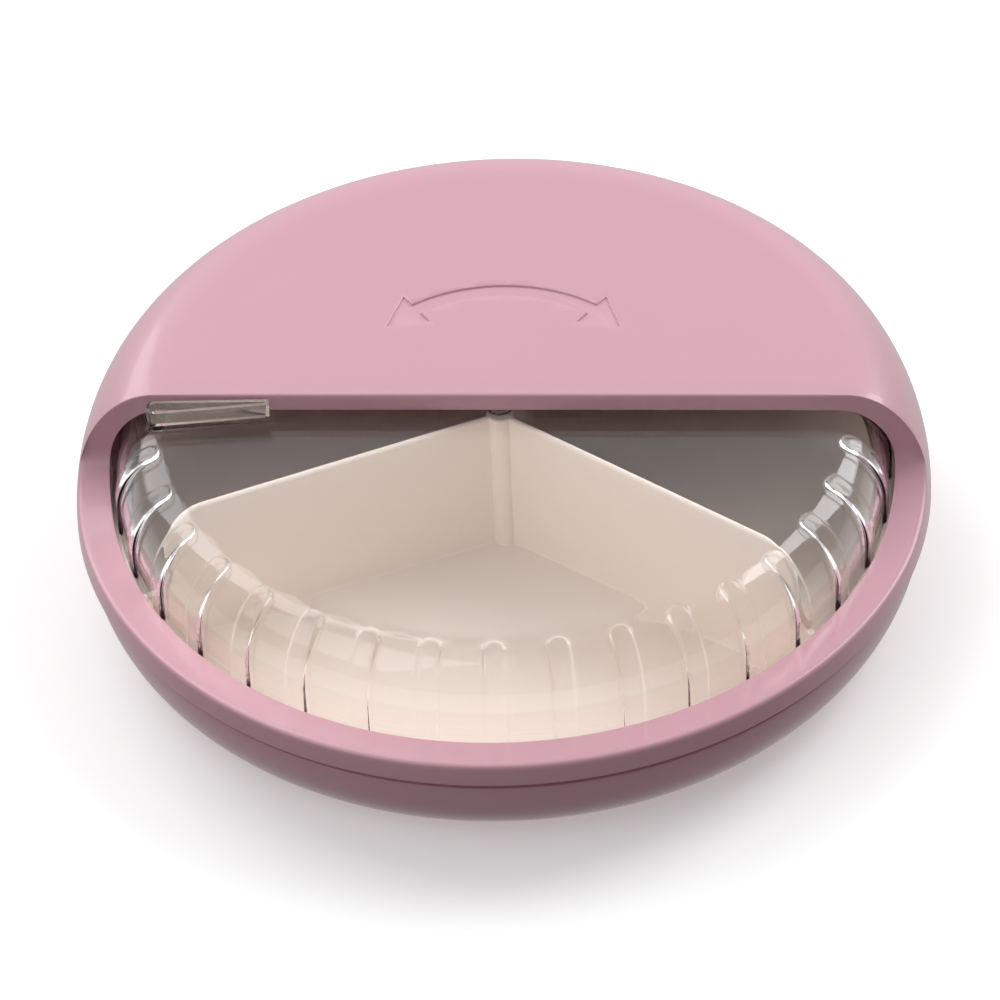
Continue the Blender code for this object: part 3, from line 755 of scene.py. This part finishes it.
def edge_line(dome, cut, counts):
    """Return the right half of the line where the cut surface meets a dome, front to back.

    The points are (x, length along the cut), in three stretches: ring, rise and hood edge.
    """
    sweep_start = HOOD_FACE_Y - SWEEP_DEPTH
    cut_start = cut.points[0][0]
    ring_radius = radius_at(dome, RING_TOP)
    start_turn = math.asin(-sweep_start / ring_radius)
    turns = np.linspace(-math.pi / 2, -start_turn, counts[0] + 1)
    ring = np.column_stack([ring_radius * np.cos(turns), ring_radius * np.sin(turns) - cut_start])
    first = sweep_start - cut_start
    top_z = dome.points[0][1]
    last = np.interp(top_z, cut.points[1:, 1], cut.lengths[1:])
    along = first + (last - first) * np.sin(np.linspace(0.0, math.pi / 2, 600))
    y, z = cut.at(along)
    x = np.sqrt(radius_at(dome, z)**2 - y**2)
    rise = resample(np.column_stack([x, y, z, along]), counts[1])
    back = np.column_stack([np.linspace(x[-1], 0.0, counts[2] + 1), np.full(counts[2] + 1, last)])
    return np.concatenate([ring, rise[1:], back[1:]])


def on_cut(cut, places):
    """Return the points in space at (x, along) places on the cut surface."""
    y, z = cut.at(places[:, 1])
    return np.column_stack([places[:, 0], y, z])


def flattened(dome, points):
    """Return points of a dome laid out flat, at their lengths along its outline."""
    radius = np.hypot(points[:, 0], points[:, 1])
    along = dome.along(radius, points[:, 2])
    return points[:, :2] / radius[:, None] * along[:, None]


def on_dome(dome, flat, sink=0.0):
    """Return the points in space of places on a flattened dome, sunk below its surface."""
    along = np.hypot(flat[:, 0], flat[:, 1])
    r, z = dome.at(along)
    n_r, n_z = dome.normal(np.minimum(along, dome.length - END_REACH))
    unit = flat / along[:, None]
    return np.column_stack([unit * (r - n_r * sink)[:, None], z - n_z * sink])


def bend(start, corner, end):
    """Return the rows of a rounded edge between two rows, past its corner row."""
    rows = []
    for share in np.linspace(0.0, 1.0, ROUND_STEPS + 2)[1:-1]:
        rows.append(start * (1 - share)**2 + corner * 2 * share * (1 - share) + end * share**2)
    return rows


def towards(start, end, distance):
    """Return the rows of points that lie at a distance from start towards end."""
    way = end - start
    return start + way / np.linalg.norm(way, axis=1)[:, None] * distance


def cover_rows():
    """Return the rows of the right half of the cover: window edge, face, outside, underside, inside."""
    counts = (56, 54, 40)
    outer = Profile([(0.0, TOTAL_HEIGHT)] + quarter(HOOD_FLAT_RADIUS, RING_BOTTOM, HOOD_SHOULDER_WIDTH,
                                                    TOTAL_HEIGHT - RING_BOTTOM, steps=120))
    lip = quarter(LID_FLAT_RADIUS, LID_SHOULDER_Z, WINDOW_RADIUS - LID_FLAT_RADIUS,
                  LIP_EDGE - LID_SHOULDER_Z, steps=120)
    inner = Profile([(0.0, LIP_EDGE)] + lip + [(WINDOW_RADIUS, PLATE_BOTTOM)])
    cut = cut_profile()
    crease = edge_line(outer, cut, counts)
    window = edge_line(inner, cut, counts)
    crease_points = on_cut(cut, crease)
    window_points = on_cut(cut, window)
    crease_angle = np.arctan2(crease_points[:, 1], crease_points[:, 0])
    rise_share = np.linspace(0.0, 1.0, counts[1] + 1)[1:]
    hood_share = np.linspace(0.0, 1.0, counts[2] + 1)[1:]
    hood_start = math.radians(HOOD_START_ANGLE)
    sweep_turn = crease_angle[counts[0]]
    turn = np.concatenate([crease_angle[:counts[0] + 1], sweep_turn + (hood_start - sweep_turn) * rise_share,
                           hood_start + (math.pi / 2 - hood_start) * hood_share])
    around = np.column_stack([np.cos(turn), np.sin(turn)])

    face_start = towards(window, crease, WINDOW_ROUND)
    face_end = towards(crease, window, CREASE_ROUND)
    face = [on_cut(cut, face_start + (face_end - face_start) * share) for share in np.linspace(0.0, 1.0, 9)]

    crease_flat = flattened(outer, crease_points)
    foot_flat = around * outer.length
    span = np.linalg.norm(foot_flat - crease_flat, axis=1)
    near = np.minimum(BAND_WIDTH * 1.6, span * 0.5)
    band_share = np.clip((span - BAND_FADE_START) / BAND_FADE_LENGTH, 0.0, 1.0)
    outside = []
    for target in (0.0, 0.12, 0.25, 0.38, 0.48, 0.53, 0.56, 0.59, 0.62, 0.65, 0.70, 0.80, 1.0):
        outside.append(CREASE_ROUND + (near - CREASE_ROUND) * target)
    for share in np.linspace(0.0, 1.0, 40)[1:]:
        outside.append(near + (span - FOOT_ROUND - near) * share)
    outside_rows = []
    for distance in outside:
        flat = towards(crease_flat, foot_flat, distance[:, None])
        sink = BAND_DROP * np.clip(1.0 - distance / BAND_WIDTH, 0.0, 1.0) * band_share
        outside_rows.append(on_dome(outer, flat, sink))

    under_outline = rounded([outer.at(outer.length - FOOT_ROUND), (OUTER_RADIUS, RING_BOTTOM),
                             (SKIRT_OUTER, RING_BOTTOM), (SKIRT_OUTER, SKIRT_BOTTOM),
                             (SKIRT_INNER, SKIRT_BOTTOM), (SKIRT_INNER, BEAD_BOTTOM + BEAD_BOTTOM - BEAD_TOP),
                             (BEAD_RADIUS, BEAD_BOTTOM), (BEAD_RADIUS, BEAD_TOP), (SKIRT_INNER, BEAD_TOP),
                             (SKIRT_INNER, PLATE_BOTTOM), (WINDOW_RADIUS, PLATE_BOTTOM)],
                            {1: FOOT_ROUND, 3: SKIRT_ROUND, 4: SKIRT_ROUND, 6: SKIRT_ROUND, 7: SKIRT_ROUND})
    under_rows = [np.column_stack([around * r, np.full(len(around), z)]) for r, z in under_outline[1:]]

    window_flat = flattened(inner, window_points)
    plate_flat = around * inner.length
    inside_rows = []
    inner_span = np.linalg.norm(window_flat - plate_flat, axis=1)
    for share in np.linspace(0.0, 1.0, 25)[1:]:
        distance = (inner_span - WINDOW_ROUND) * share
        inside_rows.append(on_dome(inner, towards(plate_flat, window_flat, distance[:, None])))

    crease_rows = bend(face[-1], crease_points, outside_rows[0])
    window_rows = bend(inside_rows[-1], window_points, face[0])
    return face + crease_rows + outside_rows + under_rows + inside_rows + window_rows


def cover_shell():
    """Return the cover as one closed skin, still solid between the lip and the hood's back."""
    rows = []
    for half in cover_rows():
        mirrored = half[-2:0:-1] * np.array([-1.0, 1.0, 1.0])
        rows.append(np.concatenate([half, mirrored]))
    points = np.concatenate(rows)
    return build_mesh("hooded_cover_moulding", points, row_faces(len(rows), len(rows[0]), wrap_rows=True))


def hood_pocket():
    """Return the hollow behind the hood's lip, which leaves the hood an even wall."""
    roof = quarter(HOOD_FLAT_RADIUS, RING_BOTTOM, HOOD_SHOULDER_WIDTH - HOOD_WALL,
                   TOTAL_HEIGHT - HOOD_WALL - RING_BOTTOM, steps=40)
    kept = [point for point in roof if point[1] > RING_TOP]
    profile = [(0.0, TOTAL_HEIGHT - HOOD_WALL)] + kept + [(kept[-1][0], RING_TOP), (0.0, RING_TOP)]
    pocket = turned("hood_pocket", profile)
    shape = bmesh.new()
    shape.from_mesh(pocket.data)
    everything = list(shape.verts) + list(shape.edges) + list(shape.faces)
    sliced = bmesh.ops.bisect_plane(shape, geom=everything, plane_co=(0.0, HOOD_FACE_Y + HOOD_WALL, 0.0),
                                    plane_no=(0.0, -1.0, 0.0), clear_outer=True)
    rim = [part for part in sliced["geom_cut"] if isinstance(part, bmesh.types.BMEdge)]
    bmesh.ops.contextual_create(shape, geom=rim)
    bmesh.ops.recalc_face_normals(shape, faces=shape.faces)
    shape.to_mesh(pocket.data)
    shape.free()
    return pocket


def arrow_outline(grow):
    """Return a two-headed arc arrow's plan outline about the turning axis, grown outwards all round."""
    half = ARROW_WIDTH / 2 + grow
    head = ARROW_HEAD_WIDTH / 2 + grow * ARROW_HEAD_GROWTH
    tip = ARROW_HEAD_ANGLE + math.degrees(grow * ARROW_TIP_GROWTH / ARROW_RADIUS)
    low = 90.0 - ARROW_HALF_ANGLE
    high = 90.0 + ARROW_HALF_ANGLE
    back = math.degrees(grow / ARROW_RADIUS)

    def at(radius, angle):
        return (radius * math.cos(math.radians(angle)), radius * math.sin(math.radians(angle)))

    outline = arc(ARROW_RADIUS + half, low + back, high - low - 2 * back, steps=48)
    outline += [at(ARROW_RADIUS + head, high - back), at(ARROW_RADIUS, high + tip),
                at(ARROW_RADIUS - head, high - back)]
    outline += arc(ARROW_RADIUS - half, high - back, low - high + 2 * back, steps=48)
    outline += [at(ARROW_RADIUS - head, low + back), at(ARROW_RADIUS, low - tip),
                at(ARROW_RADIUS + head, low + back)]
    return outline


def turn_arrow():
    """Return the tool that presses the arrow into the hood, with softened edges."""
    floor = TOTAL_HEIGHT - ARROW_DEPTH
    levels = [(floor, -0.12), (floor + 0.06 * MM, -0.04), (floor + 0.22 * MM, 0.02),
              (TOTAL_HEIGHT - 0.08 * MM, 0.08), (TOTAL_HEIGHT, 0.22), (TOTAL_HEIGHT + 0.3 * MM, 0.8)]
    return prism("turn_arrow", [(z, arrow_outline(grow * MM)) for z, grow in levels])


def build_cover(material):
    """Make the pink ring and hood that snap on the base."""
    item = cover_shell()
    combine(item, hood_pocket(), "DIFFERENCE")
    bore_radius = PIN_RADIUS + PIN_CLEARANCE
    bore_top = LID_TOP + PIN_HEIGHT + PIN_CLEARANCE
    collar_top = TOTAL_HEIGHT - HOOD_WALL / 2
    collar_radius = bore_radius + HOOD_WALL
    half_turn = arc(collar_radius, 0.0, 180.0, steps=24)
    front = HOOD_FACE_Y + HOOD_WALL / 2
    collar_outline = half_turn + [(-collar_radius, front), (collar_radius, front)]
    combine(item, prism("pin_collar", [(LIP_EDGE, collar_outline), (collar_top, collar_outline)]), "UNION")
    bore_outline = arc(bore_radius, 0.0, 345.0, steps=23)
    combine(item, prism("pin_bore", [(LID_TOP, bore_outline), (bore_top, bore_outline)]), "DIFFERENCE")
    combine(item, turn_arrow(), "DIFFERENCE")
    finish_piece(item, material, "cover", "hooded_cover")


# Camera, lights and floor

def add_camera():
    """Put the camera above the front, a little to the right, on a long lens."""
    azimuth = Matrix.Rotation(math.radians(CAMERA_AZIMUTH), 3, "Z")
    elevation = math.radians(CAMERA_ELEVATION)
    target = Vector((0.0, 0.0, CAMERA_AIM_Z))
    away = Vector((0.0, -math.cos(elevation), math.sin(elevation)))
    turn = azimuth @ Matrix.Rotation(math.radians(90.0 - CAMERA_ELEVATION), 3, "X")
    for angle, axis in ((CAMERA_ROLL, "Z"), (CAMERA_YAW, "Y"), (CAMERA_PITCH, "X")):
        turn = turn @ Matrix.Rotation(math.radians(angle), 3, axis)
    data = bpy.data.cameras.new("camera")
    data.sensor_width = CAMERA_SENSOR
    data.lens = CAMERA_LENS
    data.clip_start = CAMERA_NEAR
    data.clip_end = CAMERA_FAR
    camera = bpy.data.objects.new("camera", data)
    camera.matrix_world = Matrix.Translation(target + azimuth @ away * CAMERA_DISTANCE) @ turn.to_4x4()
    bpy.context.scene.collection.objects.link(camera)
    bpy.context.scene.camera = camera


def add_softbox(name, place, width, height, power):
    """Add a rectangular lamp that points at the object."""
    data = bpy.data.lights.new(name, "AREA")
    data.shape = "RECTANGLE"
    data.size = width
    data.size_y = height
    data.energy = power
    lamp = bpy.data.objects.new(name, data)
    lamp.location = place
    lamp.rotation_euler = (-Vector(place)).to_track_quat("-Z", "Y").to_matrix().to_euler()
    bpy.context.scene.collection.objects.link(lamp)


def add_lights():
    """Add the soft studio lights: a narrow one behind at each side, and a broad one at the front left."""
    for lamp in LAMPS:
        add_softbox(*lamp)


def smooth_spread(tree, value, start, end, low, high):
    """Return a value eased from low to high while it runs from start to end."""
    spread = tree.nodes.new("ShaderNodeMapRange")
    spread.interpolation_type = "SMOOTHSTEP"
    spread.inputs["From Min"].default_value = start
    spread.inputs["From Max"].default_value = end
    spread.inputs["To Min"].default_value = low
    spread.inputs["To Max"].default_value = high
    tree.links.new(value, spread.inputs["Value"])
    return spread.outputs["Result"]


def add_world():
    """Light the studio's walls: brighter behind and above the object, dimmer in front of it and below."""
    world = bpy.data.worlds.new("studio")
    bpy.context.scene.world = world
    world.use_nodes = True
    tree = world.node_tree
    background = tree.nodes["Background"]
    background.inputs["Color"].default_value = (*WHITE, 1.0)
    place = tree.nodes.new("ShaderNodeTexCoord")
    parts = tree.nodes.new("ShaderNodeSeparateXYZ")
    tree.links.new(place.outputs["Generated"], parts.inputs["Vector"])
    total = tree.nodes.new("ShaderNodeMath")
    total.operation = "MULTIPLY"
    tree.links.new(smooth_spread(tree, parts.outputs["Y"], -0.35, 0.55, 0.28, 0.78), total.inputs[0])
    tree.links.new(smooth_spread(tree, parts.outputs["Z"], -0.2, 0.35, 0.75, 1.0), total.inputs[1])
    tree.links.new(total.outputs["Value"], background.inputs["Strength"])


def add_floor():
    """Add the plain pale floor, which throws no light back on the object."""
    mesh = bpy.data.meshes.new("floor")
    corners = [(-FLOOR_REACH, -FLOOR_REACH, 0.0), (FLOOR_REACH, -FLOOR_REACH, 0.0),
               (FLOOR_REACH, FLOOR_REACH, 0.0), (-FLOOR_REACH, FLOOR_REACH, 0.0)]
    mesh.from_pydata(corners, [], [(0, 1, 2, 3)])
    floor = bpy.data.objects.new("floor", mesh)
    bpy.context.scene.collection.objects.link(floor)
    material, tree, shader = new_material("pale_floor")
    shader.inputs["Base Color"].default_value = (*FLOOR_GREY, 1.0)
    tree.links.new(vary(tree, noise(tree, 8.0, 2.0), 0.85, 0.95), shader.inputs["Roughness"])
    shader.inputs["Specular IOR Level"].default_value = 0.0
    shader.inputs["Emission Color"].default_value = (*WHITE, 1.0)
    shader.inputs["Emission Strength"].default_value = FLOOR_GLOW
    mesh.materials.append(material)
    floor.visible_diffuse = False
    floor.visible_glossy = False
    floor.visible_shadow = False


def main():
    """Make the four pieces, the camera, the floor and the lights."""
    pink_cover = moulded_plastic("dusty_pink_cover", COVER_PINK, COVER_PINK_DEEP,
                                 roughness=0.31, strength=0.06, coat=0.35)
    pink_base = moulded_plastic("dusty_pink_base", BASE_PINK, BASE_PINK_DEEP,
                                roughness=0.32, strength=0.06, coat=0.3)
    cream = moulded_plastic("warm_cream", CREAM, CREAM_DEEP, roughness=0.42, strength=0.15)
    add_camera()
    build_base(pink_base)
    build_insert(cream)
    build_lid(clear_plastic("clear_polished"))
    build_cover(pink_cover)
    add_floor()
    add_world()
    add_lights()
    bpy.context.scene.view_settings.view_transform = "Standard"


main()
